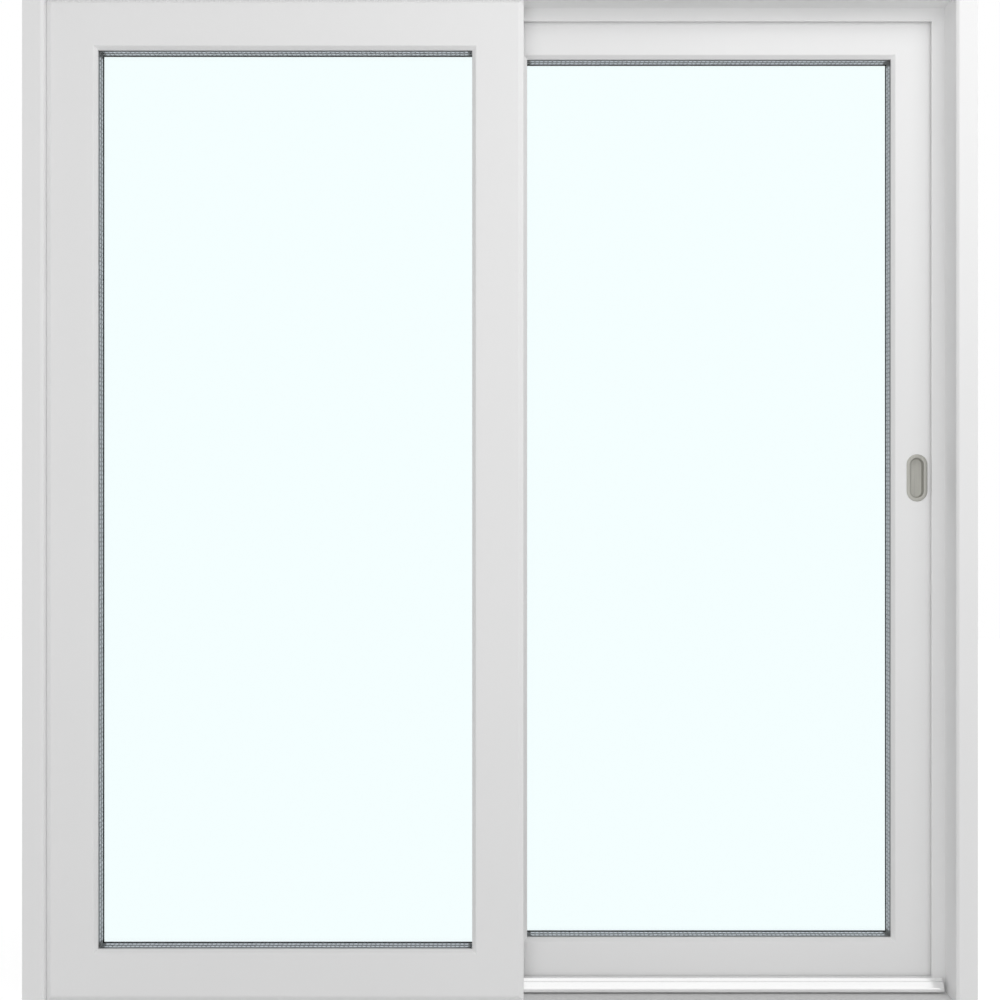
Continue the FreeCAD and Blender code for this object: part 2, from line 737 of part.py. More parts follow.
def roller(name, x):
    """Flanged wheel turned in one piece with its axle."""
    body = doc.addObject("PartDesign::Body", name)
    half = new_sketch(body, "XY_Plane", f"{name}_half")
    rim = "(Sizes.wheel_radius + Sizes.wheel_flange)"
    tread = "(Sizes.rail_width / 2 + Sizes.carriage_play)"
    face = "(Sizes.wheel_width / 2)"
    axle_end = f"({CARRIAGE_WIDTH} / 2)"
    add_outline(half, (
        ("0", f"-{axle_end}"),
        ("Sizes.axle_radius", f"-{axle_end}"),
        ("Sizes.axle_radius", f"-{face}"),
        (rim, f"-{face}"),
        (rim, f"-{tread}"),
        ("Sizes.wheel_radius", f"-{tread}"),
        ("Sizes.wheel_radius", tread),
        (rim, tread),
        (rim, face),
        ("Sizes.axle_radius", face),
        ("Sizes.axle_radius", axle_end),
        ("0", axle_end),
    ))
    turned = body.newObject("PartDesign::Revolution", f"{name}_turned")
    turned.Profile = half
    turned.ReferenceAxis = (half, ["V_Axis"])
    turned.Angle = 360
    doc.recompute()
    place(body, x, TRACK_Y, WHEEL_Z)
    return body


def roller_gear():
    carriages = [carriage(f"carriage_{i}", x) for i, x in enumerate(CARRIAGE_X, start=1)]
    rollers = []
    for i, x in enumerate(CARRIAGE_X, start=1):
        for j, wheel_x in enumerate(WHEEL_X, start=1):
            rollers.append(roller(f"roller_{i}_{j}", f"{x} + {wheel_x}"))
    for label, pieces in (("roller_carriages", carriages), ("rollers", rollers)):
        group = doc.addObject("Part::Compound", label)
        group.Links = pieces
        named(group, label)


roller_gear()


# Guide shoes in the top groove straddle the guide rail.
def guide_shoes():
    width = CARRIAGE_WIDTH
    slot = "(Sizes.guide_width + 2 * Sizes.shoe_play)"
    slot_floor = "(Sizes.groove_depth + Sizes.sash_top_gap - Sizes.guide_drop - Sizes.shoe_top_gap)"
    high = "(Sizes.groove_depth - Sizes.shoe_top_gap)"
    places = (
        f"{sash.left} + Sizes.shoe_inset",
        f"{sash.right} - Sizes.shoe_inset",
    )
    shoes = []
    for i, x in enumerate(places, start=1):
        shoe = bar(f"guide_shoe_{i}", (
            ("0", f"-{width} / 2"),
            (high, f"-{width} / 2"),
            (high, f"-{slot} / 2"),
            (slot_floor, f"-{slot} / 2"),
            (slot_floor, f"{slot} / 2"),
            (high, f"{slot} / 2"),
            (high, f"{width} / 2"),
            ("0", f"{width} / 2"),
        ), "Sizes.shoe_length")
        place(shoe, x, TRACK_Y, f"{sash.top} - Sizes.groove_depth", BOTTOM)
        shoes.append(shoe)
    pair = doc.addObject("Part::Compound", "guide_shoes")
    pair.Links = shoes
    named(pair, "guide_shoes")


guide_shoes()

# Flush pull: a pressed metal cup with a flat rim, let into the outside of the lock stile.
STILE_X = f"({sash.right} - Sizes.member_width / 2)"
PULL_RADIUS = "(Sizes.pull_width / 2)"
CUP_RADIUS = f"({PULL_RADIUS} - Sizes.pull_rim + Sizes.pull_wall)"
PULL_SPAN = "((Sizes.pull_height - Sizes.pull_width) / 2)"


def pull_cutout():
    """Mortise for the cup in the lock stile, whose own length runs downwards."""
    cut = new_sketch(lock_stile, "XZ_Plane", "pull_cutout")
    middle = f"({sash.centre_z} - Sizes.pull_height_centre)"
    add_stadium(cut, "Sizes.member_width / 2", f"{middle} - {PULL_SPAN}", f"{middle} + {PULL_SPAN}",
                f"{CUP_RADIUS} + Sizes.pull_fit")
    pocket(lock_stile, cut, "Sizes.pull_depth + Sizes.pull_fit")


def flush_pull():
    body = doc.addObject("PartDesign::Body", "flush_pull")
    rim = new_sketch(body, "XZ_Plane", "pull_rim_outline")
    add_stadium(rim, "0", f"-{PULL_SPAN}", PULL_SPAN, PULL_RADIUS)
    pad(body, rim, "Sizes.pull_flange")
    cup = new_sketch(body, "XZ_Plane", "pull_cup_outline")
    add_stadium(cup, "0", f"-{PULL_SPAN}", PULL_SPAN, CUP_RADIUS)
    pad(body, cup, "Sizes.pull_depth", reverse=True)
    recess = new_sketch(body, "XZ_Plane", "pull_recess_outline")
    add_stadium(recess, "0", f"-{PULL_SPAN}", PULL_SPAN, f"{PULL_RADIUS} - Sizes.pull_rim")
    pocket(body, recess, "Sizes.pull_depth - Sizes.pull_wall", back="Sizes.pull_flange + Sizes.cut_margin")
    ease_edges(body, "Chamfer", "Sizes.pull_bevel", in_plane("-Sizes.pull_flange"))
    place(body, STILE_X, sash.face, "Sizes.pull_height_centre")
    named(body, "flush_pull")


pull_cutout()
flush_pull()

# Lever handle on the room side of the lock stile: an oval backplate and a cranked lever that points up.
PLATE_SPAN = "((Sizes.plate_height - Sizes.plate_width) / 2)"
SASH_BACK = f"({sash.face} + Sizes.leaf_depth)"


def handle_plate():
    body = doc.addObject("PartDesign::Body", "handle_plate")
    outline = new_sketch(body, "XZ_Plane", "plate_outline")
    add_stadium(outline, "0", f"-{PLATE_SPAN}", PLATE_SPAN, "Sizes.plate_width / 2")
    pad(body, outline, "Sizes.plate_thick", reverse=True)
    ease_edges(body, "Chamfer", "Sizes.plate_bevel", in_plane("Sizes.plate_thick"))
    place(body, STILE_X, SASH_BACK, "Sizes.pull_height_centre")
    named(body, "handle_plate")


def lever_handle():
    body = doc.addObject("PartDesign::Body", "lever_handle")
    neck = new_sketch(body, "XZ_Plane", "neck_outline")
    add_circle(neck, "0", "0", "Sizes.neck_radius")
    pad(body, neck, "Sizes.neck_length + Sizes.lever_thick / 2", reverse=True)
    grip = new_sketch(body, "XZ_Plane", "grip_outline")
    grip.setExpression("AttachmentOffset.Base.z", "-Sizes.neck_length")
    add_stadium(grip, "0", "0", "Sizes.lever_length - Sizes.lever_width", "Sizes.lever_width / 2")
    pad(body, grip, "Sizes.lever_thick", reverse=True)
    ease_edges(body, "Chamfer", "Sizes.lever_bevel", in_plane("Sizes.neck_length + Sizes.lever_thick"))
    place(body, STILE_X, f"{SASH_BACK} + Sizes.plate_thick", "Sizes.pull_height_centre")
    named(body, "lever_handle")


handle_plate()
lever_handle()

doc.recompute()
for item in doc.Objects:
    if "Invalid" in item.State or "Error" in item.State:
        raise ValueError(f"{item.Name} failed: {item.State}")
for part in sub_parts:
    if part.Shape.isNull() or not part.Shape.isValid():
        raise ValueError(f"{part.Label} has no valid shape")

os.makedirs("parts", exist_ok=True)
for part in sub_parts:
    part.Shape.exportStep(f"parts/{part.Label}.step")
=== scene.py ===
import math

import bmesh
import bpy
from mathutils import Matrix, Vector


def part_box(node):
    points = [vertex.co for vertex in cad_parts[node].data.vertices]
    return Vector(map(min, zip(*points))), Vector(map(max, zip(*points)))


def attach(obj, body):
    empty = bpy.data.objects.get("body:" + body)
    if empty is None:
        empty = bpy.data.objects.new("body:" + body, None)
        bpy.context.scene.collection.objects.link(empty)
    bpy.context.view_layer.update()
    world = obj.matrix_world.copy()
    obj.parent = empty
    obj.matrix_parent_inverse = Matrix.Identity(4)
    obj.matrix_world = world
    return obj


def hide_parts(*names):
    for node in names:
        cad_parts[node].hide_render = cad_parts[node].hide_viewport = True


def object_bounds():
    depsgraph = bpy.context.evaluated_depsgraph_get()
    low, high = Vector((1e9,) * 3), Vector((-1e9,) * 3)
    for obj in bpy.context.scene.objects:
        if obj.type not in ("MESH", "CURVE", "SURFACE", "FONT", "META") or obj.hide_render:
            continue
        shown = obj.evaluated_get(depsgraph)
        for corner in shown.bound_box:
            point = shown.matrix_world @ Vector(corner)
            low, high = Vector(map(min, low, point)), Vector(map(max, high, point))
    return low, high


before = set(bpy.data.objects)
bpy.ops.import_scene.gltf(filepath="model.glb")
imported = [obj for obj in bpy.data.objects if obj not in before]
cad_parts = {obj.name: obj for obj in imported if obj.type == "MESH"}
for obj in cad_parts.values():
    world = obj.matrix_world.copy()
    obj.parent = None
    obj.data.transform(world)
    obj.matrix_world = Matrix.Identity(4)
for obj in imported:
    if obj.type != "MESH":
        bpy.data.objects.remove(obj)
cad_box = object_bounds()


# Outer frame: head and two jambs of extruded white uPVC, mitred and welded at the top corners.
# The skin comes off the die smooth and satin, with the faintest waviness and no grain.
def new_material(name, roughness, metallic=0.0):
    """Node material around one Principled shader; constants are set on its own sockets."""
    material = bpy.data.materials.new(name)
    material.use_nodes = True
    tree = material.node_tree
    shader = tree.nodes["Principled BSDF"]
    shader.inputs["Roughness"].default_value = roughness
    shader.inputs["Metallic"].default_value = metallic
    return material, tree, shader


def add_noise(tree, scale, stretch=(1, 1, 1), detail=3.0):
    """Noise on Object coordinates, stretched by a scale per axis."""
    place = tree.nodes.new("ShaderNodeTexCoord")
    mapping = tree.nodes.new("ShaderNodeMapping")
    mapping.inputs["Scale"].default_value = stretch
    noise = tree.nodes.new("ShaderNodeTexNoise")
    noise.inputs["Scale"].default_value = scale
    noise.inputs["Detail"].default_value = detail
    tree.links.new(place.outputs["Object"], mapping.inputs["Vector"])
    tree.links.new(mapping.outputs["Vector"], noise.inputs["Vector"])
    return noise


def vary(tree, noise, socket, low, high):
    """Lead a noise to a shader socket as a colour or value between low and high."""
    ramp = tree.nodes.new("ShaderNodeValToRGB")
    ramp.color_ramp.elements[0].position = 0.3
    ramp.color_ramp.elements[1].position = 0.7
    ramp.color_ramp.elements[0].color = low
    ramp.color_ramp.elements[1].color = high
    tree.links.new(noise.outputs["Fac"], ramp.inputs["Fac"])
    tree.links.new(ramp.outputs["Color"], socket)


def grey(value, tint=(1.0, 1.0, 1.0)):
    return (value * tint[0], value * tint[1], value * tint[2], 1.0)


def add_bump(tree, shader, noise, strength, distance):
    bump = tree.nodes.new("ShaderNodeBump")
    bump.inputs["Strength"].default_value = strength
    bump.inputs["Distance"].default_value = distance
    tree.links.new(noise.outputs["Fac"], bump.inputs["Height"])
    tree.links.new(bump.outputs["Normal"], shader.inputs["Normal"])


def white_plastic(name, shade, roughness):
    material, tree, shader = new_material(name, roughness)
    broad = add_noise(tree, 2.5)
    vary(tree, broad, shader.inputs["Base Color"], grey(shade * 0.988), grey(shade))
    vary(tree, broad, shader.inputs["Roughness"], grey(roughness * 0.9), grey(roughness * 1.1))
    add_bump(tree, shader, add_noise(tree, 220.0, detail=2.0), 0.03, 0.0003)
    return material


def dress(nodes, material):
    """Put one material on each CAD node."""
    for name in nodes:
        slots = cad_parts[name].data.materials
        slots.clear()
        slots.append(material)


FRAME_WHITE = 0.94
FRAME_ROUGHNESS = 0.42
frame_skin = white_plastic("frame_white_upvc", FRAME_WHITE, FRAME_ROUGHNESS)
dress(["head", "left_jamb", "right_jamb"], frame_skin)

# Threshold: one extruded sill section, cut to the jambs' shape at its ends and screwed down to the floor.
# It is coated in a slightly greyer white that doesn't show dirt.
SILL_WHITE = 0.83
dress(["threshold"], white_plastic("sill_coating", SILL_WHITE, 0.5))


# Weather nose: extruded aluminium strip clipped on the sill across the sliding half, left bright.
# Fine flutes run along its slope for grip, with one deeper groove between them.
def drawn_metal(name, low, high, roughness, stretch, grain=90.0):
    """Bare metal with fine lines along the axis whose stretch is small."""
    material, tree, shader = new_material(name, roughness, metallic=1.0)
    lines = add_noise(tree, grain, stretch)
    vary(tree, lines, shader.inputs["Base Color"], low, high)
    add_bump(tree, shader, lines, 0.04, 0.0002)
    return material


def paint_groove_shade(material, low, high, shares, shade):
    """Darken the colour in the band between two shares of a strip's height: painted shade in its groove."""
    tree = material.node_tree
    colour = tree.nodes["Principled BSDF"].inputs["Base Color"]
    bare = colour.links[0].from_socket
    place = tree.nodes.new("ShaderNodeTexCoord")
    split = tree.nodes.new("ShaderNodeSeparateXYZ")
    height = tree.nodes.new("ShaderNodeMapRange")
    height.inputs["From Min"].default_value = low.z
    height.inputs["From Max"].default_value = high.z
    band = tree.nodes.new("ShaderNodeValToRGB")
    band.color_ramp.interpolation = "CONSTANT"
    band.color_ramp.elements[0].color = grey(1.0)
    band.color_ramp.elements[1].color = grey(1.0)
    band.color_ramp.elements[1].position = shares[1]
    band.color_ramp.elements.new(shares[0]).color = grey(shade)
    both = tree.nodes.new("ShaderNodeMix")
    both.data_type = "RGBA"
    both.blend_type = "MULTIPLY"
    both.inputs["Factor"].default_value = 1.0
    tree.links.new(place.outputs["Object"], split.inputs["Vector"])
    tree.links.new(split.outputs["Z"], height.inputs["Value"])
    tree.links.new(height.outputs["Result"], band.inputs["Fac"])
    tree.links.new(bare, both.inputs["A"])
    tree.links.new(band.outputs["Color"], both.inputs["B"])
    tree.links.new(both.outputs["Result"], colour)


def new_object(name, mesh):
    thing = bpy.data.objects.new(name, mesh)
    bpy.context.scene.collection.objects.link(thing)
    return thing


def loft(mesh_name, shells, metal, sharp_angle=40):
    """Mesh of closed shells, each skinned over a row of rings with flat ends."""
    form = bmesh.new()
    for rings in shells:
        loops = [[form.verts.new(point) for point in ring] for ring in rings]
        count = len(loops[0])
        for near, far in zip(loops, loops[1:]):
            for i in range(count):
                following = (i + 1) % count
                form.faces.new((near[i], near[following], far[following], far[i]))
        form.faces.new(loops[0])
        form.faces.new(loops[-1])
    bmesh.ops.recalc_face_normals(form, faces=form.faces)
    mesh = bpy.data.meshes.new(mesh_name)
    form.to_mesh(mesh)
    form.free()
    mesh.shade_smooth()
    mesh.set_sharp_from_angle(angle=math.radians(sharp_angle))
    mesh.materials.append(metal)
    return new_object(mesh_name, mesh)


def fluted(start, end, count, steepness):
    """Points up a slope of steep faces and flat treads, which lie half in front of the straight line."""
    run = (end[0] - start[0]) / count
    rise = (end[1] - start[1]) / count
    face = rise / math.tan(math.radians(steepness))
    points = []
    for i in range(count):
        foot = start[0] + i * run + (run - face) / 2
        points += [(foot, start[1] + i * rise), (foot + face, start[1] + (i + 1) * rise)]
    return points


def rounded(middle, radius, first, last, steps=6):
    """Points of an arc between two angles, in degrees from the outward horizontal."""
    points = []
    for i in range(steps + 1):
        angle = math.radians(first + (last - first) * i / steps)
        points.append((middle[0] - radius * math.cos(angle), middle[1] + radius * math.sin(angle)))
    return points


ALONG_X = (0.02, 1.0, 1.0)
GROOVE_SHARES = (0.755, 0.835)
GROOVE_SHADE = 0.91
FLUTE_STEEPNESS = 54
LOWER_FLUTES = 8
UPPER_FLUTES = 4
NOSE_ROUND = 0.003
# Depth behind the riser's foot and height over the sill, up the riser and the lower flutes,
# through the groove and over the upper flutes to the back.
NOSE_PROFILE = (
    (0.0140, 0.0), (0.0140, 0.0044), (0.0, 0.0044),
    *rounded((0.0033, 0.01185), NOSE_ROUND, 3, 45),
    *fluted((0.00122, 0.01425), (0.01111, 0.02303), LOWER_FLUTES, FLUTE_STEEPNESS),
    (0.01362, 0.02303), (0.01302, 0.02471),
    *fluted((0.01302, 0.02471), (0.01815, 0.02925), UPPER_FLUTES, FLUTE_STEEPNESS),
    *rounded((0.02014, 0.0270), NOSE_ROUND, 50, 90),
    (0.0260, 0.0300), (0.0260, 0.0),
)
nose_low, nose_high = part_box("sill_nose")
nose_metal = drawn_metal("bright_aluminium", grey(0.96), grey(0.995), 0.14, ALONG_X)
# The band over the groove is painted shade: the metal's colour is darkened there by GROOVE_SHADE.
paint_groove_shade(nose_metal, nose_low, nose_high, GROOVE_SHARES, GROOVE_SHADE)
dress(["sill_nose"], nose_metal)
nose_rings = [
    [(end, nose_low.y + depth, nose_low.z + height) for depth, height in NOSE_PROFILE]
    for end in (nose_low.x, nose_high.x)
]
nose = loft("fluted_nose", [nose_rings], nose_metal)
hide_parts("sill_nose")
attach(nose, "frame")

# Tracks: the running rail on the sill and the guide rail under the head, both screwed on.
# They are drawn in aluminium and anodised, and the die's lines run along them.
track_metal = drawn_metal("anodised_aluminium", grey(0.6), grey(0.72), 0.34, ALONG_X)
dress(["running_rail", "guide_rail"], track_metal)


# Stops: two blocks on the left jamb that catch the open sash near its bottom and top corners.
# They are moulded in black rubber, and one screw holds each.
def rubber(name, low, high, roughness, shine=0.5):
    material, tree, shader = new_material(name, roughness)
    shader.inputs["Specular IOR Level"].default_value = shine
    mottle = add_noise(tree, 280.0)
    vary(tree, mottle, shader.inputs["Base Color"], low, high)
    add_bump(tree, shader, mottle, 0.12, 0.0003)
    return material


dress(["stop_buffers"], rubber("stop_rubber", grey(0.018), grey(0.03), 0.7))

# Fixing screws: zinc-plated flat heads with a six-lobed drive, along both flanges of the running rail
# and in the middle of each stop. Each was driven home to its own angle.
SCREW_STEPS = 36
SCREW_COUNT = 7
SCREW_INSET = 0.064
SCREW_LANE = 0.0045
FLANGE_THICK = 0.002
STOP_HALF = 0.025
SCREW_SEED = 7
SCREW_INPUTS = {"Places": "Geometry", "Screw": "Object", "Metal": "Material", "Seed": "Int"}
# Radius, swell of the lobes and height, from the drive's floor over the crown to the underside.
SCREW_PROFILE = (
    (0.0011, 0.0002, 0.00005), (0.0013, 0.0002, 0.00044), (0.0018, 0.0, 0.0005),
    (0.0027, 0.0, 0.00048), (0.0032, 0.0, 0.0003), (0.0034, 0.0, 0.0),
)


def lobed_ring(radius, swell, height):
    """Ring of points about Z whose radius swells six times on its way round."""
    ring = []
    for i in range(SCREW_STEPS):
        angle = 2 * math.pi * i / SCREW_STEPS
        reach = radius + swell * math.cos(6 * angle)
        ring.append((reach * math.cos(angle), reach * math.sin(angle), height))
    return ring


def screw_group():
    """Node group that sets a screw on each point, along its facing vector and turned at random."""
    group = bpy.data.node_groups.new("fixing_screws", "GeometryNodeTree")
    for label, kind in SCREW_INPUTS.items():
        group.interface.new_socket(label, in_out="INPUT", socket_type=f"NodeSocket{kind}")
    group.interface.new_socket("Screws", in_out="OUTPUT", socket_type="NodeSocketGeometry")
    nodes = group.nodes
    link = group.links.new
    given = nodes.new("NodeGroupInput")
    result = nodes.new("NodeGroupOutput")
    screw = nodes.new("GeometryNodeObjectInfo")
    facing = nodes.new("GeometryNodeInputNamedAttribute")
    facing.data_type = "FLOAT_VECTOR"
    facing.inputs["Name"].default_value = "facing"
    stand = nodes.new("FunctionNodeAlignRotationToVector")
    stand.axis = "Z"
    chance = nodes.new("FunctionNodeRandomValue")
    chance.data_type = "FLOAT"
    chance.inputs[3].default_value = math.tau
    spin = nodes.new("FunctionNodeAxisAngleToRotation")
    turned = nodes.new("FunctionNodeRotateRotation")
    turned.rotation_space = "LOCAL"
    lay = nodes.new("GeometryNodeInstanceOnPoints")
    real = nodes.new("GeometryNodeRealizeInstances")
    paint = nodes.new("GeometryNodeSetMaterial")
    link(given.outputs["Screw"], screw.inputs["Object"])
    link(facing.outputs["Attribute"], stand.inputs["Vector"])
    link(given.outputs["Seed"], chance.inputs["Seed"])
    link(chance.outputs[1], spin.inputs["Angle"])
    link(stand.outputs["Rotation"], turned.inputs["Rotation"])
    link(spin.outputs["Rotation"], turned.inputs["Rotate By"])
    link(given.outputs["Places"], lay.inputs["Points"])
    link(screw.outputs["Geometry"], lay.inputs["Instance"])
    link(turned.outputs["Rotation"], lay.inputs["Rotation"])
    link(lay.outputs["Instances"], real.inputs["Geometry"])
    link(real.outputs["Geometry"], paint.inputs["Geometry"])
    link(given.outputs["Metal"], paint.inputs["Material"])
    link(paint.outputs["Geometry"], result.inputs["Screws"])
    return group


def marked(name, points, edges, label, vectors):
    """Object of points and edges that carries one named vector at each point."""
    mesh = bpy.data.meshes.new(name)
    mesh.from_pydata(points, edges, [])
    stored = mesh.attributes.new(label, "FLOAT_VECTOR", "POINT")
    stored.data.foreach_set("vector", [value for vector in vectors for value in vector])
    return new_object(name, mesh)


def bake(name, source, group, given, body):
    """Run a node group on a source object, and keep the result as a piece of a body."""
    layer = source.modifiers.new("layout", "NODES")
    layer.node_group = group
    for item in group.interface.items_tree:
        if item.in_out == "INPUT" and item.name in given:
            layer[item.identifier] = given[item.name]
    settled = source.evaluated_get(bpy.context.evaluated_depsgraph_get())
    baked = bpy.data.meshes.new_from_object(settled)
    source.modifiers.clear()
    bpy.data.objects.remove(source)
    piece = new_object(name, baked)
    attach(piece, body)


def set_screws(name, places, metal, body):
    """Screws at (point, facing) pairs, as one piece."""
    head = loft("screw_head", [[lobed_ring(*step) for step in SCREW_PROFILE]], metal)
    points, facings = zip(*places)
    spots = marked(f"{name}_places", points, [], "facing", facings)
    bake(name, spots, screws, {"Screw": head, "Metal": metal, "Seed": SCREW_SEED}, body)
    bpy.data.objects.remove(head)


EVEN = (1.0, 1.0, 1.0)
plated_steel = drawn_metal("plated_steel", grey(0.42), grey(0.55, (1.0, 1.0, 0.97)), 0.36, EVEN)
screws = screw_group()
rail_low, rail_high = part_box("running_rail")
stop_low, stop_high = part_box("stop_buffers")
screw_places = []
for i in range(SCREW_COUNT):
    along = rail_low.x + SCREW_INSET + i * (rail_high.x - rail_low.x - 2 * SCREW_INSET) / (SCREW_COUNT - 1)
    for across in (rail_low.y + SCREW_LANE, rail_high.y - SCREW_LANE):
        screw_places.append(((along, across, rail_low.z + FLANGE_THICK), (0, 0, 1)))
for height in (stop_low.z + STOP_HALF, stop_high.z - STOP_HALF):
    screw_places.append(((stop_high.x, (stop_low.y + stop_high.y) / 2, height), (1, 0, 0)))
set_screws("frame_screws", screw_places, plated_steel, "frame")

# Leaves: welded frames of white uPVC, stiles and rails mitred into each other.
# Glazing beads clip in on the room side, and interlock strips line the meeting stiles.
LEAVES = ("fixed", "sash")
leaf_skin = white_plastic("leaf_white_upvc", FRAME_WHITE, FRAME_ROUGHNESS)
dress(["fixed_left_stile", "fixed_meeting_stile", "fixed_top_rail", "fixed_bottom_rail"], leaf_skin)
dress(["sash_lock_stile", "sash_meeting_stile", "sash_top_rail", "sash_bottom_rail"], leaf_skin)
for leaf in LEAVES:
    dress([f"{leaf}_{side}_bead" for side in ("left", "right", "top", "bottom")], leaf_skin)
    dress([f"{leaf}_interlock"], leaf_skin)


# Sealed units: three panes of clear float glass with a pale blue-green cast that builds up through them.
# Their faces are coated against reflection, which the low index stands for.
PANE_INDEX = 1.22


def float_glass(name):
    material, tree, shader = new_material(name, 0.0)
    shader.inputs["Transmission Weight"].default_value = 1.0
    shader.inputs["IOR"].default_value = PANE_INDEX
    vary(tree, add_noise(tree, 0.4, detail=0.0), shader.inputs["Base Color"],
         (0.966, 0.999, 1.0, 1.0), (0.969, 1.0, 1.0, 1.0))
    return material


glass = float_glass("float_glass")
for leaf in LEAVES:
    dress([f"{leaf}_{which}_pane" for which in ("outer", "middle", "inner")], glass)

# Gaskets: soft seals pressed in all round, which bed the glass between rebate and beads.
# A grey co-extruded strip on the weather side, a black rubber wedge on the room side.
outer_gasket = rubber("grey_gasket", grey(0.48), grey(0.54), 0.7)
inner_gasket = rubber("black_gasket", grey(0.014), grey(0.022, (0.92, 1.0, 1.05)), 0.9, shine=0.05)
for leaf in LEAVES:
    dress([f"{leaf}_outer_gasket"], outer_gasket)
    dress([f"{leaf}_inner_gasket"], inner_gasket)

# Spacers: roll-formed aluminium channel between the panes, dull grey, joined by grey moulded elbows.
# Their inner faces carry a row of bright pressed pads, which let the drying agent inside breathe.
COOL = (0.985, 0.985, 1.05)
spacer_metal = drawn_metal("spacer_aluminium", grey(0.3, COOL), grey(0.36, COOL), 0.45, EVEN)
pad_metal = drawn_metal("pad_aluminium", grey(0.64, COOL), grey(0.75, COOL), 0.4, EVEN)
key_plastic = rubber("key_plastic", grey(0.5), grey(0.57, (1.0, 0.99, 1.03)), 0.6)
PAD_PITCH = 0.0094
PAD_LENGTH = 0.0066
PAD_WIDTH = 0.0075
PAD_CORNER = 0.0022
PAD_RISE = 0.0004
KEY_REACH = 0.008
SPACER_HEIGHT = 0.008
HALF_CAVITY = 0.008


def pad_group(metal):
    """Node group that lays rounded pads at a pitch along lines, raised along each line's inward vector."""
    group = bpy.data.node_groups.new("spacer_pads", "GeometryNodeTree")
    group.interface.new_socket("Lines", in_out="INPUT", socket_type="NodeSocketGeometry")
    for label in ("Pitch", "Pad_length", "Pad_width", "Corner", "Rise"):
        group.interface.new_socket(label, in_out="INPUT", socket_type="NodeSocketFloat")
    group.interface.new_socket("Pads", in_out="OUTPUT", socket_type="NodeSocketGeometry")
    nodes = group.nodes
    link = group.links.new
    given = nodes.new("NodeGroupInput")
    result = nodes.new("NodeGroupOutput")
    curves = nodes.new("GeometryNodeMeshToCurve")
    steps = nodes.new("GeometryNodeResampleCurve")
    steps.mode = "LENGTH"
    outline = nodes.new("GeometryNodeCurvePrimitiveQuadrilateral")
    corners = nodes.new("GeometryNodeFilletCurve")
    corners.mode = "POLY"
    corners.inputs["Count"].default_value = 3
    fill = nodes.new("GeometryNodeFillCurve")
    fill.mode = "NGONS"
    raise_top = nodes.new("GeometryNodeExtrudeMesh")
    inward = nodes.new("GeometryNodeInputNamedAttribute")
    inward.data_type = "FLOAT_VECTOR"
    inward.inputs["Name"].default_value = "inward"
    tangent = nodes.new("GeometryNodeInputTangent")
    face_in = nodes.new("FunctionNodeAlignRotationToVector")
    face_in.axis = "Z"
    run_along = nodes.new("FunctionNodeAlignRotationToVector")
    run_along.axis = "X"
    run_along.pivot_axis = "Z"
    lay = nodes.new("GeometryNodeInstanceOnPoints")
    real = nodes.new("GeometryNodeRealizeInstances")
    paint = nodes.new("GeometryNodeSetMaterial")
    paint.inputs["Material"].default_value = metal
    link(given.outputs["Lines"], curves.inputs["Mesh"])
    link(curves.outputs["Curve"], steps.inputs["Curve"])
    link(given.outputs["Pitch"], steps.inputs["Length"])
    link(given.outputs["Pad_length"], outline.inputs["Width"])
    link(given.outputs["Pad_width"], outline.inputs["Height"])
    link(outline.outputs["Curve"], corners.inputs["Curve"])
    link(given.outputs["Corner"], corners.inputs["Radius"])
    link(corners.outputs["Curve"], fill.inputs["Curve"])
    link(fill.outputs["Mesh"], raise_top.inputs["Mesh"])
    link(given.outputs["Rise"], raise_top.inputs["Offset Scale"])
    link(inward.outputs["Attribute"], face_in.inputs["Vector"])
    link(face_in.outputs["Rotation"], run_along.inputs["Rotation"])
    link(tangent.outputs["Tangent"], run_along.inputs["Vector"])
    link(steps.outputs["Curve"], lay.inputs["Points"])
    link(raise_top.outputs["Mesh"], lay.inputs["Instance"])
    link(run_along.outputs["Rotation"], lay.inputs["Rotation"])
    link(lay.outputs["Instances"], real.inputs["Geometry"])
    link(real.outputs["Geometry"], paint.inputs["Geometry"])
    link(paint.outputs["Geometry"], result.inputs["Pads"])
    return group


def spacer_lines(name, leaf):
    """Two lines per side of a sealed unit, down the middle of each spacer's inner face."""
    low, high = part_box(f"{leaf}_spacers")
    left = low.x + SPACER_HEIGHT
    right = high.x - SPACER_HEIGHT
    bottom = low.z + SPACER_HEIGHT
    top = high.z - SPACER_HEIGHT
    start = KEY_REACH + PAD_PITCH / 2
    points = []
    inwards = []
    for depth in (low.y + HALF_CAVITY, high.y - HALF_CAVITY):
        sides = (
            ((left, bottom + start), (left, top - start), (1, 0, 0)),
            ((right, bottom + start), (right, top - start), (-1, 0, 0)),
            ((left + start, bottom), (right - start, bottom), (0, 0, 1)),
            ((left + start, top), (right - start, top), (0, 0, -1)),
        )
        for first, last, direction in sides:
            points += [(first[0], depth, first[1]), (last[0], depth, last[1])]
            inwards += [direction, direction]
    return marked(name, points, [(i, i + 1) for i in range(0, len(points), 2)], "inward", inwards)


pads = pad_group(pad_metal)
PAD_SIZES = {"Pitch": PAD_PITCH, "Pad_length": PAD_LENGTH, "Pad_width": PAD_WIDTH,
             "Corner": PAD_CORNER, "Rise": PAD_RISE}
for leaf, body in (("fixed", "frame"), ("sash", "sliding_sash")):
    dress([f"{leaf}_corner_keys"], key_plastic)
    dress([f"{leaf}_spacers"], spacer_metal)
    lines = spacer_lines(f"{leaf}_pad_lines", leaf)
    bake(f"{leaf}_spacer_pads", lines, pads, PAD_SIZES, body)

# Running gear: plated steel carriages with turned wheels, held in the groove under the sash.
# Black moulded shoes in the groove on top keep it upright on the guide rail.
dress(["roller_carriages", "rollers"], plated_steel)
dress(["guide_shoes"], rubber("shoe_plastic", grey(0.02), grey(0.032), 0.5))


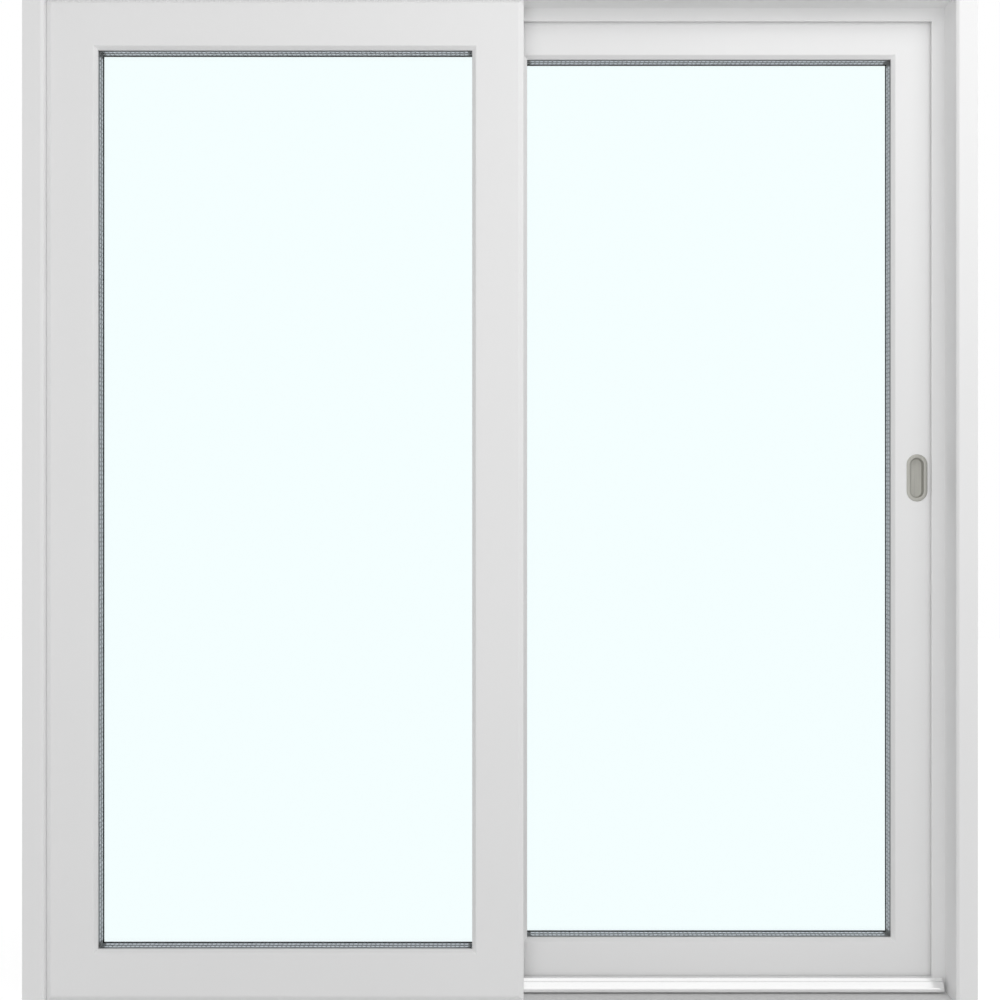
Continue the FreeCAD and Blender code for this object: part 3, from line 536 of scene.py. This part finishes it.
# Flush pull: a pressed cup with a soft rolled rim, let into the lock stile and brushed along its height.
# Satin nickel on zinc.
def satin_metal(name, low, high, roughness):
    """Brushed plating: soft reflection over some body colour, with fine upright lines."""
    material, tree, shader = new_material(name, roughness, metallic=0.4)
    lines = add_noise(tree, 420.0, (1.0, 1.0, 0.04))
    vary(tree, lines, shader.inputs["Base Color"], low, high)
    add_bump(tree, shader, lines, 0.05, 0.0001)
    return material


def stadium(middle, half_span, radius, depth, steps=16):
    """Ring of points round an upright slot shape at one depth."""
    ring = []
    for centre, start in ((half_span, 0.0), (-half_span, math.pi)):
        for i in range(steps + 1):
            angle = start + math.pi * i / steps
            ring.append((middle[0] + radius * math.cos(angle), depth,
                         middle[1] + centre + radius * math.sin(angle)))
    return ring


def slot_sizes(node):
    """Middle, half span, radius and foremost depth of a node's upright slot shape."""
    low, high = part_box(node)
    radius = (high.x - low.x) / 2
    middle = ((low.x + high.x) / 2, (low.z + high.z) / 2)
    return middle, (high.z - low.z) / 2 - radius, radius, low.y


def slot_rings(node, profile):
    """Rings of a node's slot shape for a profile of (inset from its edge, depth from its foremost face)."""
    middle, half_span, radius, front = slot_sizes(node)
    return [stadium(middle, half_span, radius - inset, front + depth) for inset, depth in profile]


nickel = satin_metal("satin_nickel", (0.46, 0.455, 0.42, 1.0), (0.54, 0.535, 0.49, 1.0), 0.42)
dress(["flush_pull", "handle_plate", "lever_handle"], nickel)
# From the cup's floor up its wall, over the rim's crown and round the back.
PULL_PROFILE = (
    (0.0122, 0.0145), (0.0109, 0.0143), (0.0100, 0.0136), (0.0095, 0.0122),
    (0.0091, 0.0080), (0.0088, 0.0045), (0.0085, 0.0022), (0.0081, 0.0010),
    (0.0073, 0.0002), (0.0058, 0.0), (0.0030, 0.0001), (0.0016, 0.0004),
    (0.0006, 0.0009), (0.0, 0.0020), (0.0075, 0.0020), (0.0075, 0.0160),
)
pull = loft("flush_pull_cup", [slot_rings("flush_pull", PULL_PROFILE)], nickel)
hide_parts("flush_pull")
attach(pull, "sliding_sash")

# Lever handle on the room side: an oval backplate with softened edges, and a cast lever
# whose neck flares into the grip. Same satin nickel.
PLATE_SCREW = 0.072
PLATE_PROFILE = ((0.0, 0.0), (0.0, 0.0062), (0.0003, 0.0075), (0.0010, 0.0084), (0.0024, 0.0090))
GRIP_PROFILE = ((0.0046, 0.0440), (0.0020, 0.0445), (0.0006, 0.0460), (0.0, 0.0485), (0.0, 0.0520),
                (0.0006, 0.0545), (0.0022, 0.0563), (0.0050, 0.0570))
NECK_PROFILE = ((0.0126, 0.0), (0.0126, 0.0014), (0.0116, 0.0026), (0.0103, 0.0060), (0.0097, 0.0120),
                (0.0095, 0.0300), (0.0100, 0.0380), (0.0112, 0.0430), (0.0122, 0.0462))
plate = loft("handle_backplate", [slot_rings("handle_plate", PLATE_PROFILE)], nickel)
grip_middle, grip_span, _, neck_foot = slot_sizes("lever_handle")
neck_middle = (grip_middle[0], grip_middle[1] - grip_span)
neck = [stadium(neck_middle, 0.0, radius, neck_foot + depth) for radius, depth in NECK_PROFILE]
lever = loft("cast_lever", [slot_rings("lever_handle", GRIP_PROFILE), neck], nickel)
for piece, node in ((plate, "handle_plate"), (lever, "lever_handle")):
    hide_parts(node)
    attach(piece, "sliding_sash")
plate_middle = slot_sizes("handle_plate")[0]
plate_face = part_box("handle_plate")[1].y
handle_places = []
for offset in (PLATE_SCREW, -PLATE_SCREW):
    handle_places.append(((plate_middle[0], plate_face, plate_middle[1] + offset), (0, 1, 0)))
set_screws("handle_screws", handle_places, nickel, "sliding_sash")

# Studio: a pale floor and a white surround. A soft lamp hangs near the right-hand jamb, a broad one stands
# far in front, and weak lights from both sides pick out the bevels and reveals.
FLOOR_HALF = 9.0
EDGE_SPREAD = 0.6
GLOW = 0.52
AMBIENT = 0.54


def seen_directly(tree):
    """1 for camera, glossy and transmission rays that no matt surface has scattered, else 0."""
    path = tree.nodes.new("ShaderNodeLightPath")
    unscattered = tree.nodes.new("ShaderNodeMath")
    unscattered.operation = "LESS_THAN"
    unscattered.inputs[1].default_value = 0.5
    both = tree.nodes.new("ShaderNodeMath")
    both.operation = "MULTIPLY"
    first = tree.nodes.new("ShaderNodeMath")
    first.operation = "MAXIMUM"
    second = tree.nodes.new("ShaderNodeMath")
    second.operation = "MAXIMUM"
    tree.links.new(path.outputs["Is Camera Ray"], first.inputs[0])
    tree.links.new(path.outputs["Is Glossy Ray"], first.inputs[1])
    tree.links.new(first.outputs[0], second.inputs[0])
    tree.links.new(path.outputs["Is Transmission Ray"], second.inputs[1])
    tree.links.new(path.outputs["Diffuse Depth"], unscattered.inputs[0])
    tree.links.new(second.outputs[0], both.inputs[0])
    tree.links.new(unscattered.outputs[0], both.inputs[1])
    return path, both.outputs[0]


def pale_floor():
    """Matt floor with a glow for what sees it straight; through glass and in metal it is plain white."""
    material, tree, shader = new_material("pale_floor", 0.9)
    vary(tree, add_noise(tree, 0.8), shader.inputs["Base Color"], grey(0.86), grey(0.88))
    output = tree.nodes["Material Output"]
    glow = tree.nodes.new("ShaderNodeEmission")
    glow.inputs["Strength"].default_value = GLOW
    white = tree.nodes.new("ShaderNodeEmission")
    lifted = tree.nodes.new("ShaderNodeAddShader")
    first = tree.nodes.new("ShaderNodeMixShader")
    second = tree.nodes.new("ShaderNodeMixShader")
    path, direct = seen_directly(tree)
    tree.links.new(shader.outputs["BSDF"], lifted.inputs[0])
    tree.links.new(glow.outputs["Emission"], lifted.inputs[1])
    tree.links.new(path.outputs["Is Camera Ray"], first.inputs["Fac"])
    tree.links.new(white.outputs["Emission"], first.inputs[1])
    tree.links.new(lifted.outputs["Shader"], first.inputs[2])
    tree.links.new(direct, second.inputs["Fac"])
    tree.links.new(shader.outputs["BSDF"], second.inputs[1])
    tree.links.new(first.outputs["Shader"], second.inputs[2])
    tree.links.new(second.outputs["Shader"], output.inputs["Surface"])
    return material


floor_mesh = bpy.data.meshes.new("floor")
floor_mesh.from_pydata([(-FLOOR_HALF, -FLOOR_HALF, 0), (FLOOR_HALF, -FLOOR_HALF, 0),
                        (FLOOR_HALF, FLOOR_HALF, 0), (-FLOOR_HALF, FLOOR_HALF, 0)], [], [(0, 1, 2, 3)])
floor_mesh.materials.append(pale_floor())
new_object("floor", floor_mesh)

world = bpy.data.worlds.new("studio")
bpy.context.scene.world = world
world.use_nodes = True
sky = world.node_tree
surround = sky.nodes["Background"]
surround.inputs["Color"].default_value = (1.0, 1.0, 1.0, 1.0)
level = sky.nodes.new("ShaderNodeMapRange")
level.inputs["To Min"].default_value = AMBIENT
level.inputs["To Max"].default_value = 1.0
sky.links.new(seen_directly(sky)[1], level.inputs["Value"])
sky.links.new(level.outputs["Result"], surround.inputs["Strength"])


def set_lamp(data, spot, aim):
    """Put a lamp at a spot, turned to its aim and unseen in metal and glass."""
    lamp = bpy.data.objects.new(data.name, data)
    lamp.location = spot
    lamp.visible_glossy = False
    lamp.visible_transmission = False
    lamp.rotation_euler = (Vector(aim) - Vector(spot)).to_track_quat("-Z", "Y").to_euler()
    bpy.context.scene.collection.objects.link(lamp)


def soft_lamp(name, spot, aim, size, power):
    data = bpy.data.lights.new(name, "AREA")
    data.shape = "DISK"
    data.size = size
    data.energy = power
    set_lamp(data, spot, aim)


soft_lamp("key_lamp", spot=(1.35, -1.75, 2.6), aim=(0.4, 0.0, 1.4), size=1.2, power=12.2)
soft_lamp("fill_lamp", spot=(-0.9, -5.2, 0.8), aim=(0.2, 0.0, 1.2), size=2.4, power=35)
for name, side, power in (("right_edge_lamp", 4.9, 0.33), ("left_edge_lamp", -4.9, 0.12)):
    edge_light = bpy.data.lights.new(name, "SUN")
    edge_light.energy = power
    edge_light.angle = EDGE_SPREAD
    set_lamp(edge_light, (side, -1.0, 1.5), (0.0, 0.0, 1.1))

# Camera: level and square to the outside face, at the distance that gives the picture's perspective.
# A small shift sets the door's height in the picture and keeps its uprights parallel.
CAMERA_DISTANCE = 3.7
CAMERA_HEIGHT = 1.135
PLANE_WIDTH = 2.092
HORIZON_DROP = -0.017
SENSOR = 36.0
eye = bpy.data.objects.new("camera", bpy.data.cameras.new("camera"))
eye.data.sensor_width = SENSOR
eye.data.lens = SENSOR * CAMERA_DISTANCE / PLANE_WIDTH
eye.data.shift_y = HORIZON_DROP
eye.location = (0, cad_box[0][1] - CAMERA_DISTANCE, CAMERA_HEIGHT)
eye.rotation_euler = (math.radians(90), 0, 0)
bpy.context.scene.collection.objects.link(eye)
bpy.context.scene.camera = eye
bpy.context.scene.view_settings.view_transform = "Standard"
